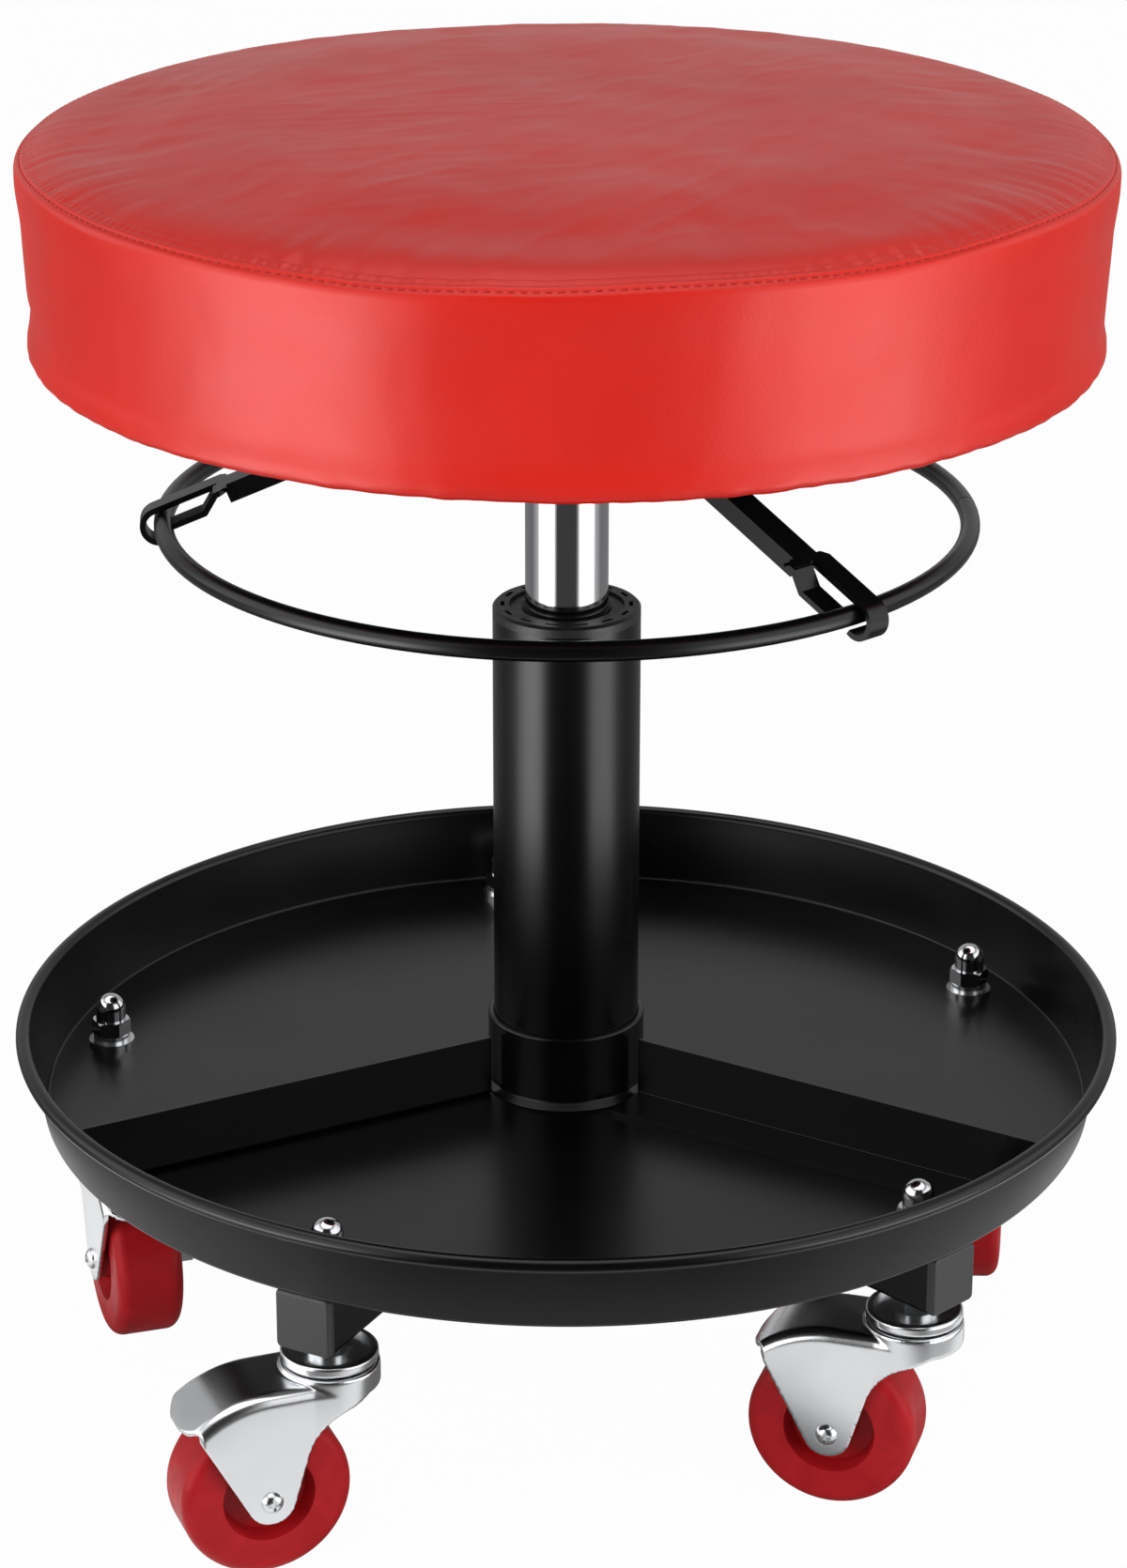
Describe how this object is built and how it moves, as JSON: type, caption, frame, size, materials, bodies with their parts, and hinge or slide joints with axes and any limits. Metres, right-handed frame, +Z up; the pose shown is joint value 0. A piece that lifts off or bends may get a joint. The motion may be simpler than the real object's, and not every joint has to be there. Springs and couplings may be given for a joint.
{
  "type": "mechanic stool",
  "caption": "Low rolling workshop stool: round padded seat on a gas lift with a ring lever, and a round divided tool tray on legs with swivel casters.",
  "frame": {"origin": "on the floor under the column's axis", "axes": "+Z up along the column, -Y towards the viewer of the picture, +X to that viewer's right"},
  "size_m": [0.3809, 0.381, 0.4445],
  "materials": {
    "seat_vinyl": "semi-gloss vinyl",
    "foam": "open-cell foam",
    "plywood": "plain",
    "dust_cloth": "non-woven",
    "black_paint": "satin",
    "chrome": "polished",
    "zinc_plate": "bright zinc plate",
    "plain_steel": "plain",
    "aluminium": "turned",
    "black_plastic": "moulded",
    "wheel_plastic": "moulded",
    "rubber": "moulded"
  },
  "bodies": {
    "base": {"column_tube": "black_paint", "column_socket": "black_paint", "column_bush": "black_plastic", "column_end_plate": "plain_steel", "tray": "black_paint", "divider_rear": "black_paint", "divider_left": "black_paint", "divider_right": "black_paint", "leg_1": "black_paint", "leg_2": "black_paint", "leg_3": "black_paint", "leg_4": "black_paint", "leg_5": "black_paint", "leg_caps": "black_plastic", "nut_washers": "zinc_plate", "cap_nuts": "chrome", "kingpins": "zinc_plate", "caster_cups": "zinc_plate", "caster_balls": "plain_steel"},
    "rod": {"piston_rod": "chrome", "piston": "aluminium", "rod_clip": "plain_steel", "thrust_bearing": "plain_steel", "rubber_buffer": "rubber"},
    "seat": {"gas_cylinder": "chrome", "valve_block": "aluminium", "rod_guide": "black_plastic", "seat_plate": "black_paint", "seat_bolts": "zinc_plate", "seat_tee_nuts": "zinc_plate", "seat_board": "plywood", "seat_foam": "foam", "seat_cover_top": "seat_vinyl", "seat_cover_band": "seat_vinyl", "seat_dust_cover": "dust_cloth", "cover_staples": "plain_steel"},
    "lever": {"lever_ring": "black_paint", "lever_spider": "black_paint"},
    "pin": {"release_pin": "plain_steel"},
    "caster_1": {"fork_1": "zinc_plate", "axle_1": "zinc_plate"},
    "roller_1": {"wheel_1": "wheel_plastic", "wheel_bush_1": "plain_steel"},
    "caster_2": {"fork_2": "zinc_plate", "axle_2": "zinc_plate"},
    "roller_2": {"wheel_2": "wheel_plastic", "wheel_bush_2": "plain_steel"},
    "caster_3": {"fork_3": "zinc_plate", "axle_3": "zinc_plate"},
    "roller_3": {"wheel_3": "wheel_plastic", "wheel_bush_3": "plain_steel"},
    "caster_4": {"fork_4": "zinc_plate", "axle_4": "zinc_plate"},
    "roller_4": {"wheel_4": "wheel_plastic", "wheel_bush_4": "plain_steel"},
    "caster_5": {"fork_5": "zinc_plate", "axle_5": "zinc_plate"},
    "roller_5": {"wheel_5": "wheel_plastic", "wheel_bush_5": "plain_steel"}
  },
  "joints": [
    {"name": "seat_spin", "type": "hinge", "parent": "base", "child": "rod", "pos_m": [0, 0, 0.2], "axis": [0, 0, 1], "continuous": true},
    {"name": "seat_lift", "type": "slide", "parent": "rod", "child": "seat", "axis": [0, 0, 1], "range_m": [-0.045, 0.07]},
    {"name": "lever_tilt", "type": "hinge", "parent": "seat", "child": "lever", "pos_m": [0.02584, -0.02921, 0.35175], "axis": [-0.749, -0.6626, 0], "range_deg": [0, 3.2], "stiffness_Nm_per_rad": 10, "springref_deg": -2.86},
    {"name": "pin_press", "type": "slide", "parent": "seat", "child": "pin", "axis": [0, 0, -1], "range_m": [0, 0.0022]},
    {"name": "caster_1_swivel", "type": "hinge", "parent": "base", "child": "caster_1", "pos_m": [-0.02367, 0.16228, 0.066], "axis": [0, 0, 1], "continuous": true},
    {"name": "wheel_1_spin", "type": "hinge", "parent": "caster_1", "child": "roller_1", "pos_m": [0.00108, 0.1588, 0.0285], "axis": [0.1392, 0.9903, 0], "continuous": true},
    {"name": "caster_2_swivel", "type": "hinge", "parent": "base", "child": "caster_2", "pos_m": [-0.16165, 0.02763, 0.066], "axis": [0, 0, 1], "continuous": true},
    {"name": "wheel_2_spin", "type": "hinge", "parent": "caster_2", "child": "roller_2", "pos_m": [-0.15393, 0.00386, 0.0285], "axis": [0.9511, 0.309, 0], "continuous": true},
    {"name": "caster_3_swivel", "type": "hinge", "parent": "base", "child": "caster_3", "pos_m": [-0.07623, -0.14521, 0.066], "axis": [0, 0, 1], "continuous": true},
    {"name": "wheel_3_spin", "type": "hinge", "parent": "caster_3", "child": "roller_3", "pos_m": [-0.09957, -0.15416, 0.0285], "axis": [0.3584, -0.9336, 0], "continuous": true},
    {"name": "caster_4_swivel", "type": "hinge", "parent": "base", "child": "caster_4", "pos_m": [0.11454, -0.11737, 0.066], "axis": [0, 0, 1], "continuous": true},
    {"name": "wheel_4_spin", "type": "hinge", "parent": "caster_4", "child": "roller_4", "pos_m": [0.09063, -0.11006, 0.0285], "axis": [-0.2924, -0.9563, 0], "continuous": true},
    {"name": "caster_5_swivel", "type": "hinge", "parent": "base", "child": "caster_5", "pos_m": [0.14702, 0.07266, 0.066], "axis": [0, 0, 1], "continuous": true},
    {"name": "wheel_5_spin", "type": "hinge", "parent": "caster_5", "child": "roller_5", "pos_m": [0.14615, 0.04768, 0.0285], "axis": [0.9994, -0.0349, 0], "continuous": true}
  ],
  "couplings": [
    {"joint": "pin_press", "follows": "lever_tilt", "m_per_rad": 0.039}
  ]
}
